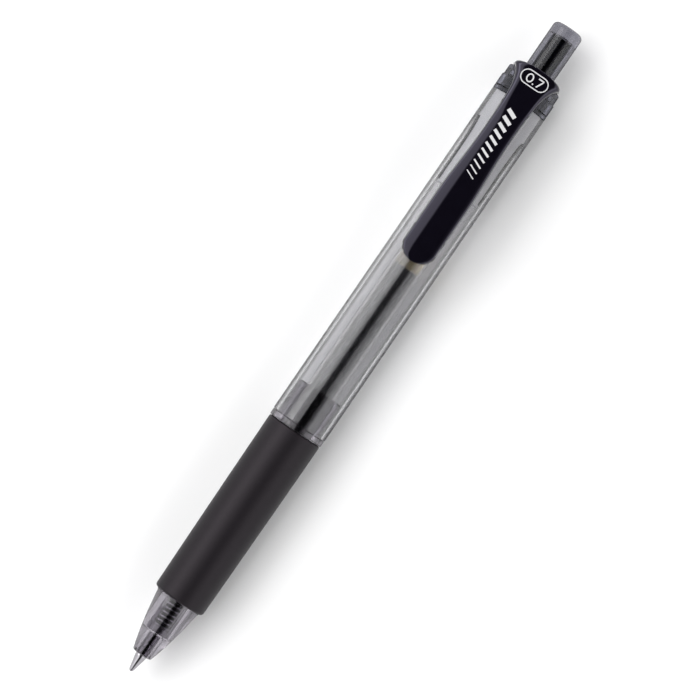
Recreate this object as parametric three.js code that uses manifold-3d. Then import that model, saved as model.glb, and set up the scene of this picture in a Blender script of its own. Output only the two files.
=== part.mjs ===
// A retractable gel pen, lying with its clip up and its point out, as it is held ready to write.
// The pen's axis runs along X, the point towards -X and the button towards +X. Z = 0 is the surface
// that the barrel rests on. Places along the pen ("at") are counted from the front end of the nose,
// towards the button, and distances marked "back" are counted from the rear end of the clip's head.
import * as THREE from 'three';
import { mergeVertices } from 'three/addons/utils/BufferGeometryUtils.js';
import Module from 'manifold-3d';

const wasm = await Module();
wasm.setup();

// Driving dimensions, in millimetres.
const HEAD_END = 129.5;          // nose end to the rear end of the clip's head
const POINT_OUT = 3.67;          // the point beyond the nose
const BUTTON_OUT = 9.86;         // the button beyond the clip's head
const BARREL_RADIUS = 5.65;
const COLLAR_RADIUS = 5.58;      // a hair inside the barrel, which the pen rests on
const BORE_RADIUS = 4.85;
const REAR_BORE_RADIUS = 5.3;   // the bore's wider rear end
const BORE_NARROW = 19;          // back: the bore starts to open out
const BORE_WIDE = 12.7;          // back: the bore is fully open
const NOSE_RADIUS = 4.4;         // the nose where it meets the grip, and the sleeve under the grip
const GRIP_START = 12.05;
const GRIP_END = 49.9;
const COLLAR_END = 51.2;         // the ring between grip and barrel
const SPIGOT_END = 58.5;         // the threaded end of the front section
const POINT_RADIUS = 1.15;
const BALL_RADIUS = 0.35;
const SPRING_SEAT = 5.0;         // shoulder in the nose that the return spring rests on
const HOLDER_START = 6.4;        // leaves room for the click's overtravel behind the seat
const SPRING_BACK = 22.0;        // shoulder on the refill that pushes the spring
const WIRE_RADIUS = 0.18;
const COIL_RADIUS = 2.02;        // to the middle of the wire
const TUBE_RADIUS = 3.05;
const TUBE_BORE = 2.6;
const INK_END = 86;
const FOLLOWER_END = 90.5;
const REFILL_END = 107.3;
const CLICK = 5.5;               // the way the refill moves between writing and put away
const CLICK_TURN = 60;           // degrees the rotor turns in one click
const BUTTON_RADIUS = 3.025;
const INSERT_RADIUS = 2.05;      // the dark rod inside the clear button
const SLEEVE_RADIUS = 4.4;
const SLEEVE_START = 27;         // back
const RIB_TURN = 20;             // degrees from the sleeve's sides to its centring ribs
const CAP_RING_RADIUS = 5.65;
const CAP_RADIUS = 5.45;
const CAP_BACK = 6.85;           // joint between barrel and rear cap
const CLIP_LENGTH = 42;
const CLIP_SPLIT = 10.35;        // the clip bends here
const CLIP_DRAFT = 0.2;          // how far the clip's sides lean in towards its top
const HEAD_ARC = 1.3;            // back: the rear curve of the clip's head ends
const HEAD_HALF_WIDTH = 5.05;
const SIDES = 36;

const BUTTON_END = HEAD_END + BUTTON_OUT;
const CENTRE = (BUTTON_END - POINT_OUT) / 2;
const AXIS_HEIGHT = BARREL_RADIUS * Math.cos(Math.PI / SIDES);
const DEGREE = Math.PI / 180;
const TURN_PER_MM = CLICK_TURN / CLICK;
const CAM_RIB = 111.6;           // middle of the rotor ribs' slanted rear faces
const RIB_START = 108.3;
const CROWN_TIP = 113.4;         // the plunger's teeth
const LEDGE_END = 116;
const PIN_END = 116.5;           // the rotor's pin, inside the plunger
const CROWN_END = 117.3;
const FLANGE_START = 117.5;
const FLANGE_END = 118.7;

const COLOURS = {
  steel: { color: 0xc9c9cc, metalness: 1, roughness: 0.22 },
  carbide: { color: 0x9c9da2, metalness: 1, roughness: 0.15 },
  smoke: { color: 0x8f8a93, metalness: 0, roughness: 0.12, transparent: true, opacity: 0.55 },
  clear: { color: 0xd9dadd, metalness: 0, roughness: 0.08, transparent: true, opacity: 0.4 },
  milky: { color: 0xd6d6d4, metalness: 0, roughness: 0.4 },
  natural: { color: 0xdcdcda, metalness: 0, roughness: 0.3, transparent: true, opacity: 0.6 },
  ink: { color: 0x07070a, metalness: 0, roughness: 0.2 },
  grease: { color: 0xc9b98f, metalness: 0, roughness: 0.25, transparent: true, opacity: 0.8 },
  rubber: { color: 0x232225, metalness: 0, roughness: 0.7 },
  black: { color: 0x0b0a10, metalness: 0, roughness: 0.12 },
  slate: { color: 0x22242d, metalness: 0, roughness: 0.3 },
};

// ---------------------------------------------------------------------------------------------
// Shape helpers

/** One closed body: shared vertices joined, empty triangles dropped, faces turned outwards. */
function closedBody(geometry) {
  geometry.deleteAttribute('normal');
  geometry.deleteAttribute('uv');
  const merged = mergeVertices(geometry, 1e-4);
  const position = merged.attributes.position;
  const index = merged.index.array;
  const kept = [];
  let volume = 0;
  const [a, b, c] = [new THREE.Vector3(), new THREE.Vector3(), new THREE.Vector3()];
  for (let i = 0; i < index.length; i += 3) {
    const [p, q, r] = [index[i], index[i + 1], index[i + 2]];
    if (p === q || q === r || r === p) continue;
    kept.push(p, q, r);
    a.fromBufferAttribute(position, p);
    b.fromBufferAttribute(position, q);
    c.fromBufferAttribute(position, r);
    volume += a.dot(b.cross(c)) / 6;
  }
  merged.setIndex(volume < 0 ? kept.reverse() : kept);
  return merged;
}

/** A turned piece. The profile is a list of [at, radius], on the axis at both ends or a closed ring. */
function turned(profile, sides = SIDES) {
  const points = profile.map(([at, radius]) => new THREE.Vector2(radius, at));
  if (profile[0][1] > 0) points.push(points[0].clone());
  const shape = new THREE.LatheGeometry(points, sides, Math.PI / sides, 2 * Math.PI);
  shape.rotateZ(-Math.PI / 2);
  return closedBody(shape);
}

/** Points of an arc in a profile, from one angle to another in degrees, 0 along +at, 90 outwards. */
function arc(at, radius, bend, from, to, steps = 4) {
  return Array.from({ length: steps + 1 }, (_, i) => {
    const angle = (from + ((to - from) * i) / steps) * DEGREE;
    return [at + bend * Math.cos(angle), radius + bend * Math.sin(angle)];
  });
}

/** Points of a smooth profile line between two ends, pulled towards a control point. */
function swept(start, control, end, steps) {
  const [a, b, c] = [start, control, end].map(([at, radius]) => new THREE.Vector2(at, radius));
  return new THREE.QuadraticBezierCurve(a, b, c).getPoints(steps).map((p) => [p.x, p.y]);
}

/** An outline of [degrees, at] wrapped around the pen's axis, between two radii. */
function wrapped(outline, inner, outer, turn = 0) {
  const fine = outline.flatMap(([angle, at], i) => {
    const [nextAngle, nextAt] = outline[(i + 1) % outline.length];
    const steps = Math.max(1, Math.ceil(Math.abs(nextAngle - angle) / 8));
    return Array.from({ length: steps }, (_, k) => new THREE.Vector2(
      angle + ((nextAngle - angle) * k) / steps,
      at + ((nextAt - at) * k) / steps,
    ));
  });
  const shape = new THREE.Shape(fine);
  const flat = new THREE.ExtrudeGeometry(shape, { depth: outer - inner, bevelEnabled: false });
  const position = flat.attributes.position;
  for (let i = 0; i < position.count; i++) {
    const angle = (position.getX(i) + turn) * DEGREE;
    const radius = inner + position.getZ(i);
    position.setXYZ(i, position.getY(i), radius * Math.cos(angle), radius * Math.sin(angle));
  }
  return closedBody(flat);
}

/** A closed body through outlines of equal length, one at each station along the pen. */
function lofted(sections) {
  const count = sections[0].length;
  const vertices = sections.flat();
  const index = [];
  for (let i = 0; i + 1 < sections.length; i++) {
    for (let j = 0; j < count; j++) {
      const k = (j + 1) % count;
      const [a, b, c, d] = [i * count + j, i * count + k, (i + 1) * count + k, (i + 1) * count + j];
      index.push(a, b, c, a, c, d);
    }
  }
  const ends = (section) => section.map((p) => new THREE.Vector2(p.y, p.z));
  const last = (sections.length - 1) * count;
  const triangles = THREE.ShapeUtils.triangulateShape(ends(sections[0]), []);
  for (const [a, b, c] of triangles) {
    index.push(a, b, c);
    index.push(last + c, last + b, last + a);
  }
  const geometry = new THREE.BufferGeometry().setFromPoints(vertices);
  geometry.setIndex(index);
  return closedBody(geometry);
}

/** A round wire that follows a curve. */
function wire(path, radius, steps, sides) {
  const section = new THREE.Shape(
    Array.from({ length: sides }, (_, i) => new THREE.Vector2(
      radius * Math.cos((2 * Math.PI * i) / sides),
      radius * Math.sin((2 * Math.PI * i) / sides),
    )),
  );
  path.arcLengthDivisions = 4 * steps;
  return closedBody(new THREE.ExtrudeGeometry(section, { steps, extrudePath: path, bevelEnabled: false }));
}

function toManifold(geometry) {
  const vertProperties = new Float32Array(geometry.attributes.position.array);
  const triVerts = new Uint32Array(geometry.index.array);
  return new wasm.Manifold(new wasm.Mesh({ numProp: 3, vertProperties, triVerts }));
}

function fromManifold(body) {
  const mesh = body.getMesh();
  const geometry = new THREE.BufferGeometry();
  geometry.setAttribute('position', new THREE.BufferAttribute(mesh.vertProperties, 3));
  geometry.setIndex(new THREE.BufferAttribute(mesh.triVerts, 1));
  return geometry;
}

function joined(...geometries) {
  return fromManifold(geometries.map(toManifold).reduce((whole, piece) => whole.add(piece)));
}

/** Copies of a wrapped outline, evenly spaced around the axis. */
function around(count, firstAngle, outline, inner, outer) {
  return Array.from({ length: count }, (_, i) => (
    wrapped(outline, inner, outer, firstAngle + (360 * i) / count)
  ));
}

// ---------------------------------------------------------------------------------------------
// Refill: ball, point, holder, tube and ink

function writingBall() {
  const ball = new THREE.SphereGeometry(BALL_RADIUS, 16, 10);
  ball.rotateZ(-Math.PI / 2);
  ball.translate(BALL_RADIUS - POINT_OUT, 0, 0);
  return closedBody(ball);
}

/** The steel point: a crimped lip around the ball, a cone, a necked shank and a stem in the holder. */
function tipPoint() {
  const front = -POINT_OUT;
  const stem = HOLDER_START + 2;
  return turned([
    [front + 0.2, 0.365],
    [front + 0.24, 0.4],
    [front + 0.55, 0.5],
    [front + 3.5, POINT_RADIUS - 0.01],
    [1.55, POINT_RADIUS],
    [1.7, POINT_RADIUS - 0.12],
    [2.6, POINT_RADIUS - 0.12],
    [2.75, POINT_RADIUS],
    [HOLDER_START - 0.1, POINT_RADIUS],
    [HOLDER_START - 0.1, 0.85],
    [stem, 0.85],
    [stem, 0.42],
    [front + 1.9, 0.42],
    [front + 1.5, 0.16],
    [front + 0.95, 0.16],
    [front + 0.72, 0.37],
  ], 24);
}

/** The hair-thin spring behind the ball: a straight pin in front, then a coil. */
class PinAndCoil extends THREE.Curve {
  getPoint(t, target = new THREE.Vector3()) {
    const [start, coilStart, end] = [-POINT_OUT + 0.8, -POINT_OUT + 2.3, 3.2];
    const pinShare = 0.12;
    if (t < pinShare) return target.set(start + ((coilStart - start) * t) / pinShare, 0, 0);
    const along = (t - pinShare) / (1 - pinShare);
    const turns = 7 * along;
    const radius = 0.26 * Math.min(1, turns);
    const angle = 2 * Math.PI * turns;
    const at = coilStart + (end - coilStart) * along;
    return target.set(at, radius * Math.sin(angle), radius * Math.cos(angle));
  }
}

function ballSpring() {
  return wire(new PinAndCoil(), 0.055, 84, 5);
}

/** The plastic holder between the point and the ink tube, with the spring's shoulder. */
function tipHolder() {
  return turned([
    [HOLDER_START, 0.9],
    [HOLDER_START, 1.35],
    [HOLDER_START + 0.4, 1.6],
    [SPRING_BACK, 1.6],
    [SPRING_BACK, 2.85],
    [SPRING_BACK + 1.2, 2.85],
    [SPRING_BACK + 1.2, TUBE_BORE - 0.05],
    [SPRING_BACK + 6, TUBE_BORE - 0.05],
    [SPRING_BACK + 6, 1.3],
    [HOLDER_START + 5.6, 1.1],
    [HOLDER_START + 4.1, 0.9],
  ], 24);
}

/** The loose ball that closes the holder when the pen points upwards. */
function checkBall() {
  const ball = new THREE.SphereGeometry(0.75, 16, 10);
  ball.translate(HOLDER_START + 6, 0, 0);
  return closedBody(ball);
}

function inkTube() {
  const start = SPRING_BACK + 1.3;
  return turned([
    [start, TUBE_BORE],
    [start, TUBE_RADIUS],
    [REFILL_END - 1.1, TUBE_RADIUS],
    [REFILL_END - 1.1, TUBE_BORE],
  ]);
}

/** The ink, from the narrow channel in the holder to its free surface in the tube. */
function inkColumn() {
  return turned([
    [HOLDER_START + 7, 0],
    [HOLDER_START + 7, 1.0],
    [SPRING_BACK + 6.1, 1.2],
    [SPRING_BACK + 6.1, TUBE_BORE - 0.06],
    [INK_END, TUBE_BORE - 0.06],
    [INK_END, 0],
  ]);
}

/** The clear grease plug that follows the ink down the tube. */
function inkFollower() {
  return turned([
    [INK_END + 0.1, 0],
    [INK_END + 0.1, TUBE_BORE - 0.06],
    [FOLLOWER_END, TUBE_BORE - 0.06],
    [FOLLOWER_END - 0.6, 1.3],
    [FOLLOWER_END - 0.8, 0],
  ]);
}

/** The vented plug in the tube's rear end. */
function tailPlug() {
  return turned([
    [REFILL_END - 5, 1.9],
    [REFILL_END - 4.6, TUBE_BORE - 0.05],
    [REFILL_END - 1, TUBE_BORE - 0.05],
    [REFILL_END - 1, TUBE_RADIUS - 0.05],
    [REFILL_END, TUBE_RADIUS - 0.25],
    [REFILL_END, 0.7],
    [REFILL_END - 5, 0.7],
  ]);
}

/** A compression spring's middle line: closed turns at both ends and open turns between. */
class SpringPath extends THREE.Curve {
  constructor(start, end, closedTurns, openTurns) {
    super();
    Object.assign(this, { start, end, closedTurns, openTurns });
  }

  getPoint(t, target = new THREE.Vector3()) {
    const { start, end, closedTurns, openTurns } = this;
    const turns = t * (2 * closedTurns + openTurns);
    const closedPitch = 2.1 * WIRE_RADIUS;
    const openPitch = (end - start - 2 * closedTurns * closedPitch) / openTurns;
    const open = THREE.MathUtils.clamp(turns - closedTurns, 0, openTurns);
    const at = start + open * openPitch + (turns - open) * closedPitch;
    const angle = 2 * Math.PI * turns;
    return target.set(at, COIL_RADIUS * Math.cos(angle), COIL_RADIUS * Math.sin(angle));
  }
}

function returnSpring() {
  const clearance = WIRE_RADIUS + 0.05;
  const path = new SpringPath(SPRING_SEAT + clearance, SPRING_BACK - clearance, 3, 16);
  return wire(path, WIRE_RADIUS, 22 * 10, 6);
}

// ---------------------------------------------------------------------------------------------
// Front section: clear nose and sleeve, rubber grip

/** The nose, with a fine bead in front of the grip, the sleeve under it, a ring and the spigot. */
function frontBarrel() {
  return turned([
    ...arc(0.5, 1.55, 0.5, 180, 90),
    ...swept([0.55, 2.06], [4.9, 3.4], [11.7, NOSE_RADIUS - 0.04], 7),
    [11.74, NOSE_RADIUS + 0.08],
    [11.96, NOSE_RADIUS + 0.08],
    [12, NOSE_RADIUS],
    [GRIP_END + 0.1, NOSE_RADIUS],
    [GRIP_END + 0.1, COLLAR_RADIUS - 0.1],
    [GRIP_END + 0.25, COLLAR_RADIUS],
    [COLLAR_END, COLLAR_RADIUS],
    [COLLAR_END, BORE_RADIUS - 0.12],
    [SPIGOT_END - 0.4, BORE_RADIUS - 0.12],
    [SPIGOT_END, BORE_RADIUS - 0.5],
    [SPIGOT_END, 3.4],
    [20, 3.4],
    [20, COIL_RADIUS + WIRE_RADIUS + 0.15],
    [SPRING_SEAT, COIL_RADIUS + WIRE_RADIUS + 0.15],
    [SPRING_SEAT - 0.3, POINT_RADIUS + 0.08],
    [0.2, POINT_RADIUS + 0.08],
    [0, POINT_RADIUS + 0.2],
  ]);
}

function rubberGrip() {
  return turned([
    [GRIP_START, NOSE_RADIUS + 0.06],
    ...arc(GRIP_START + 0.6, 4.6, 0.6, 180, 90),
    [GRIP_START + 10, 5.3],
    [GRIP_START + 24, 5.42],
    [GRIP_END - 0.3, 5.5],
    [GRIP_END, 5.3],
    [GRIP_END, NOSE_RADIUS + 0.06],
  ]);
}

// ---------------------------------------------------------------------------------------------
// Rear section: barrel, cap, cam sleeve and clip

/** Where the bore opens out, as a profile line towards the rear, or a line inside it by a clearance. */
function opening(clearance) {
  const narrow = BORE_RADIUS - clearance;
  return swept(
    [HEAD_END - BORE_NARROW, narrow],
    [HEAD_END - 15.5, narrow],
    [HEAD_END - BORE_WIDE, REAR_BORE_RADIUS - clearance],
    5,
  );
}

/** The clear barrel. Its bore opens out towards the cap, where the sleeve's shoulder seats. */
function rearBarrel() {
  const joint = HEAD_END - CAP_BACK;
  return turned([
    [COLLAR_END + 0.1, BORE_RADIUS],
    [COLLAR_END + 0.1, BARREL_RADIUS - 0.15],
    [COLLAR_END + 0.25, BARREL_RADIUS],
    [joint - 0.05, BARREL_RADIUS],
    [joint - 0.05, REAR_BORE_RADIUS],
    ...opening(0).reverse(),
  ]);
}

/** The cap around the mechanism: a ring flush with the barrel, a step down and a rounded rear end. */
function rearCap() {
  return turned([
    [HEAD_END - CAP_BACK + 0.05, 4.9],
    [HEAD_END - CAP_BACK + 0.05, CAP_RING_RADIUS],
    [HEAD_END - 3.7, CAP_RING_RADIUS],
    [HEAD_END - 3.6, CAP_RADIUS],
    ...arc(HEAD_END - 1.9, 5.0, 0.45, 90, 0),
    [HEAD_END - 2.35, 4.98],
    [HEAD_END - 2.35, 3.3],
    [HEAD_END - 3.3, 3.3],
    [HEAD_END - 3.3, 4.9],
  ]);
}

/**
 * The guide for the click mechanism: a sleeve with three slanted ledges that the rotor latches on,
 * and four slim ribs that centre it in the barrel's bore.
 */
function camSleeve() {
  const outside = opening(BORE_RADIUS - SLEEVE_RADIUS);
  const sleeve = turned([
    [HEAD_END - SLEEVE_START, 4.05],
    [HEAD_END - SLEEVE_START, SLEEVE_RADIUS],
    ...outside,
    [HEAD_END - CAP_BACK - 0.1, REAR_BORE_RADIUS - BORE_RADIUS + SLEEVE_RADIUS],
    [HEAD_END - CAP_BACK - 0.1, 4.05],
  ]);
  const half = 14;
  const front = (angle) => CAM_RIB + 0.2 + angle / TURN_PER_MM;
  const ledge = [[-half, front(-half)], [half, front(half)], [half, LEDGE_END], [-half, LEDGE_END]];
  const ribLine = [[HEAD_END - SLEEVE_START + 0.5, SLEEVE_RADIUS], ...outside];
  const height = BORE_RADIUS - SLEEVE_RADIUS - 0.05;
  const corners = [[-0.15, 0.16], [height, 0.16], [height, -0.16], [-0.15, -0.16]];
  const xAxis = new THREE.Vector3(1, 0, 0);
  const ribs = [RIB_TURN, 180 - RIB_TURN, 180 + RIB_TURN, -RIB_TURN].map((turn) => (
    lofted(ribLine.map(([at, radius]) => corners.map(([out, up]) => (
      new THREE.Vector3(at, radius + out, up).applyAxisAngle(xAxis, turn * DEGREE)
    ))))
  ));
  return joined(sleeve, ...around(3, 90, ledge, 3.15, 4.3), ...ribs);
}

/** The ring in the cap that keeps the button from coming out, with a snap groove round it. */
function retainer() {
  return turned([
    [HEAD_END - CAP_BACK - 0.05, 4.05],
    [HEAD_END - CAP_BACK - 0.05, 4.8],
    [HEAD_END - 5.9, 4.8],
    [HEAD_END - 5.8, 4.4],
    [HEAD_END - 5.3, 4.4],
    [HEAD_END - 5.2, 4.8],
    [HEAD_END - 4.4, 4.8],
    [HEAD_END - 3.4, 4.4],
    [HEAD_END - 3.4, 3.25],
    [HEAD_END - 5.1, 3.25],
    [HEAD_END - 5.1, 4.05],
  ]);
}

/** Half the clip's width at a distance back: a waist, a wider far end and a flare to the head. */
function clipHalfWidth(back) {
  if (back < HEAD_ARC) {
    return HEAD_HALF_WIDTH * (1 - (1 - back / HEAD_ARC) ** 2.4) ** (1 / 2.4);
  }
  const waist = 13.5;
  const wide = 0.6 * (1 - Math.cos(Math.PI * THREE.MathUtils.clamp((back - waist) / 16, 0, 1))) / 2;
  const near = back < waist ? 0.0042 * (back - waist) ** 2 : 0;
  const flare = 1.595 * Math.exp(-(back - HEAD_ARC) / 1.85);
  const end = CLIP_LENGTH - back;
  const rounded = end < 3 ? Math.sqrt(Math.max(0, 1 - ((3 - end) / 3) ** 2)) : 1;
  return (2.83 + wide + near + flare) * rounded;
}

/** An outline across the clip: crowned on top, and below either hugging an oval or flat. */
function clipSection(back, hug, radius, underside, reach = radius) {
  const half = clipHalfWidth(back);
  const crest = Math.max(half - CLIP_DRAFT, 0.8 * half);
  const flat = Math.min(1, crest / 2);
  const rise = THREE.MathUtils.smoothstep(back, 1, 9);
  const bow = THREE.MathUtils.smoothstep(back, 5, 12);
  const fall = THREE.MathUtils.smoothstep(back, 32, CLIP_LENGTH);
  const top = 7.5 + 0.7 * rise - 0.8 * fall;
  const drop = 1.15 - 0.7 * rise;
  const side = [0, 0.3, 0.55, 0.75, 0.9, 1].map((share) => flat + (crest - flat) * share);
  const across = [...side.map((y) => -y).reverse(), ...side];
  const upper = across.map((y) => {
    const beyond = Math.max(0, Math.abs(y) - flat) / Math.max(crest - flat, 0.01);
    return [y, top - drop * (half / 4.8) * beyond ** (7 - 5 * bow)];
  });
  const lower = across.map((share) => {
    const y = share * half / crest;
    const round = radius * Math.sqrt(Math.max(0.0005, 1 - (y / reach) ** 2));
    return [y, THREE.MathUtils.lerp(underside, round, hug)];
  });
  return [...upper, ...lower.reverse()].map(([y, z]) => new THREE.Vector3(HEAD_END - back, y, z));
}

/** The clip's head: a collar around the button, a wall behind the cap and a hood over it. */
function clipHead() {
  const collar = turned([
    [HEAD_END - 2.2, 3.25],
    [HEAD_END - 2.2, 4.9],
    [HEAD_END - 1.5, 4.9],
    [HEAD_END - 0.61, 3.25],
  ]);
  const wall = lofted([0.02, 0.1, 0.25, 0.5, 0.8, 1.1, 1.42].map((back) => (
    clipSection(back, 1, 4.6, 0, 5.3)
  )));
  const overCap = [1.3, 1.46, 1.9, 2.4, 3, 3.8, 4.8, 6, 6.9, 7.8, 8.8, CLIP_SPLIT - 0.15];
  const hood = lofted(overCap.map((back) => {
    const hug = 1 - THREE.MathUtils.smoothstep(back, 6.9, 8.8);
    return clipSection(back, hug, CAP_RING_RADIUS + 0.12, 6.9);
  }));
  return joined(collar, wall, hood);
}

/** The clip's long arm, with the pad near its end that grips against the barrel. */
function clipArm() {
  const stations = [CLIP_SPLIT + 0.15, 13.5, 18, 23, 29, 33, 35.5, 37, 38, 39, 40, 41, 41.6, 41.95];
  return lofted(stations.map((back) => {
    const pad = Math.max(0, 1 - ((back - 38) / 3) ** 2);
    return clipSection(back, 0, 10, 6.9 - 1.05 * pad - 0.2 * THREE.MathUtils.smoothstep(back, 32, 42));
  }));
}

// ---------------------------------------------------------------------------------------------
// Click mechanism: button, plunger and rotor

/** The clear button: a thick-ended tube with a flange that the retainer's lip holds in. */
function buttonShell() {
  return turned([
    [BUTTON_END - 1.95, 0],
    [BUTTON_END - 2.1, 1.2],
    [BUTTON_END - 2.4, INSERT_RADIUS + 0.08],
    [FLANGE_START, INSERT_RADIUS + 0.08],
    [FLANGE_START, 3.7],
    [FLANGE_END, 3.7],
    [FLANGE_END + 0.2, BUTTON_RADIUS],
    ...arc(BUTTON_END - 0.9, BUTTON_RADIUS - 0.9, 0.9, 90, 0, 5),
    [BUTTON_END, 0],
  ]);
}

/** A crown of six teeth on a ring, pointing towards the front or the rear. */
function crownTeeth(root, tip) {
  const hidden = root + (root - tip) * 0.4;
  const tooth = [[-27, root], [-27, hidden], [27, hidden], [27, root], [0, tip]];
  return around(6, 90, tooth, 2.1, 2.85);
}

/** The rod in the button, with a toothed crown and three fins that keep it from turning. */
function plunger() {
  const body = turned([
    [PIN_END + 1.5, 0],
    [PIN_END + 1.5, 1.65],
    [CROWN_TIP + 0.9, 1.65],
    [CROWN_TIP + 0.9, 2.9],
    [CROWN_END, 2.9],
    [CROWN_END, INSERT_RADIUS],
    [BUTTON_END - 2.55, INSERT_RADIUS],
    [BUTTON_END - 2.3, 1.2],
    [BUTTON_END - 2.1, 0],
  ]);
  const [finStart, finEnd] = [CROWN_TIP + 1.2, CROWN_END - 0.1];
  const fin = [[-12, finStart], [12, finStart], [12, finEnd], [-12, finEnd]];
  return joined(body, ...crownTeeth(CROWN_TIP + 0.9, CROWN_TIP), ...around(3, 30, fin, 2.7, 3.8));
}

/** The rotor between plunger and refill: three slanted ribs, rear teeth and a centring pin. */
function camRotor() {
  const rear = CROWN_TIP - 0.2;
  const hollow = REFILL_END + 3.2;
  const body = turned([
    [hollow, 0],
    [hollow, 1.3],
    [REFILL_END + 0.15, 1.3],
    [REFILL_END + 0.15, 2.7],
    [rear - 0.9, 2.9],
    [rear - 0.9, 1.5],
    [PIN_END - 0.3, 1.5],
    [PIN_END, 1.2],
    [PIN_END, 0],
  ]);
  const half = 9;
  const back = (angle) => CAM_RIB + angle / TURN_PER_MM;
  const rib = [[-half, RIB_START], [half, RIB_START], [half, back(half)], [-half, back(-half)]];
  return joined(body, ...crownTeeth(rear - 0.9, rear), ...around(3, 90, rib, 2.5, 3.85));
}

// ---------------------------------------------------------------------------------------------
// Assembly

const pen = new THREE.Group();
pen.position.set(-CENTRE, 0, AXIS_HEIGHT);

function add(name, geometry, look) {
  const mesh = new THREE.Mesh(geometry, new THREE.MeshStandardMaterial(COLOURS[look]));
  mesh.name = name;
  pen.add(mesh);
}

add('writing_ball', writingBall(), 'carbide');
add('tip_point', tipPoint(), 'steel');
add('ball_spring', ballSpring(), 'steel');
add('tip_holder', tipHolder(), 'slate');
add('check_ball', checkBall(), 'steel');
add('ink_tube', inkTube(), 'natural');
add('ink_column', inkColumn(), 'ink');
add('ink_follower', inkFollower(), 'grease');
add('tail_plug', tailPlug(), 'milky');
add('return_spring', returnSpring(), 'steel');
add('front_barrel', frontBarrel(), 'smoke');
add('rubber_grip', rubberGrip(), 'rubber');
add('rear_barrel', rearBarrel(), 'clear');
add('rear_cap', rearCap(), 'smoke');
add('cam_sleeve', camSleeve(), 'milky');
add('retainer', retainer(), 'slate');
add('clip_head', clipHead(), 'black');
add('clip_arm', clipArm(), 'black');
add('button_shell', buttonShell(), 'smoke');
add('plunger', plunger(), 'slate');
add('cam_rotor', camRotor(), 'milky');

export default pen;
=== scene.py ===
"""The gel pen's visual model: clear and smoky plastic, rubber, steel and gloss black.

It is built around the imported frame. Shapes are worked out in millimetres: "at" counts along the
pen from the front end of the nose towards the button, "back" counts from the rear end of the
clip's head towards the point, y is across and z is up, both from the pen's axis. place() turns
such a point into the frame's metres.
"""

import math

import bmesh
import bpy
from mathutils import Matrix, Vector


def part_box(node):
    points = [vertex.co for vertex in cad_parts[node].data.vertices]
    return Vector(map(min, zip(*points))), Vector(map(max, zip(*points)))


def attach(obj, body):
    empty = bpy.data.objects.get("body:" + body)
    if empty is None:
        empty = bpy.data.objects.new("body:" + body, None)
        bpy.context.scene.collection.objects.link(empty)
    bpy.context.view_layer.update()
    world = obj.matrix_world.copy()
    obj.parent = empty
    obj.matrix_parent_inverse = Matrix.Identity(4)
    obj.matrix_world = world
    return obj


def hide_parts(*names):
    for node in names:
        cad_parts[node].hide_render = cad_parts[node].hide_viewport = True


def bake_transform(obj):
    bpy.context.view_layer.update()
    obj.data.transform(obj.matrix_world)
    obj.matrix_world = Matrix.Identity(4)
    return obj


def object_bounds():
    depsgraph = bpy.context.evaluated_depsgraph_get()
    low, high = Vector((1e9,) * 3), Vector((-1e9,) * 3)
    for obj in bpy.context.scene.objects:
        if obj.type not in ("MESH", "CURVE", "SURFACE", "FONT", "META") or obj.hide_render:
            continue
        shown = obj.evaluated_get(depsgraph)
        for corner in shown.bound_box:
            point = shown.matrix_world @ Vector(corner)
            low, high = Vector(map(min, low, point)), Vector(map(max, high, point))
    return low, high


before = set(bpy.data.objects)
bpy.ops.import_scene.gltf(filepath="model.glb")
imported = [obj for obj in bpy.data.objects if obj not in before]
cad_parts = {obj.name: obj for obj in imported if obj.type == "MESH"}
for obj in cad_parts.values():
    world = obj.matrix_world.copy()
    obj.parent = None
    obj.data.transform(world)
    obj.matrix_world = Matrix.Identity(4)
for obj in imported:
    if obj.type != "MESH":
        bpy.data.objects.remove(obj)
cad_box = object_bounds()

MM = 0.001  # in metres
CAD_SIDES = 36  # flat sides of the frame's turned pieces
FINE_SIDES = 128


# ------------------------------------------------------------------------------------------------
# Sizes from the frame

NOSE_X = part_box("front_barrel")[0].x
AXIS_Z = (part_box("ink_tube")[0].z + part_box("ink_tube")[1].z) / 2


def start_of(node):
    return (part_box(node)[0].x - NOSE_X) / MM


def end_of(node):
    return (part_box(node)[1].x - NOSE_X) / MM


def radius_of(node):
    """A turned node's largest radius: its box touches the flats of its sides."""
    low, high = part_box(node)
    return (high.y - low.y) / 2 / MM / math.cos(math.pi / CAD_SIDES)


TIP_END = start_of("writing_ball")
GRIP_START = start_of("rubber_grip")
GRIP_END = end_of("rubber_grip")
COLLAR_END = start_of("rear_barrel") - 0.1
SPIGOT_END = end_of("front_barrel")
HOLDER_START = start_of("tip_holder")
SPRING_SEAT = start_of("return_spring") - 0.05
SPRING_BACK = start_of("ink_tube") - 1.3
REFILL_END = end_of("tail_plug")
INK_END = end_of("ink_column")
HEAD_END = end_of("clip_head") + 0.02
CAP_START = start_of("rear_cap")
BUTTON_END = end_of("button_shell")
SLEEVE_START = start_of("cam_sleeve")
CLIP_LENGTH = HEAD_END - start_of("clip_arm") + 0.05
BARREL_RADIUS = radius_of("rear_barrel")
TUBE_RADIUS = radius_of("ink_tube")

# Radii
BORE_RADIUS = 4.85
REAR_BORE_RADIUS = 5.3
NOSE_RADIUS = 4.4
POINT_RADIUS = 1.15
STEM_RADIUS = 0.85
BALL_RADIUS = 0.35
CHECK_BALL_RADIUS = 0.75
WIRE_RADIUS = 0.18
COIL_RADIUS = 2.02
HOLDER_RADIUS = 1.6
TUBE_BORE = 2.6
INK_RADIUS = TUBE_BORE - 0.06
SLEEVE_RADIUS = 4.4
SLEEVE_BORE = 4.05
CAP_RADIUS = 5.45
CAP_BORE = 3.3
COLLAR_BORE = 3.25
COLLAR_RADIUS = 5.58
BUTTON_RADIUS = 3.025
FLANGE_RADIUS = 3.7
INSERT_RADIUS = 2.05
PIN_RADIUS = 1.5

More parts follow.
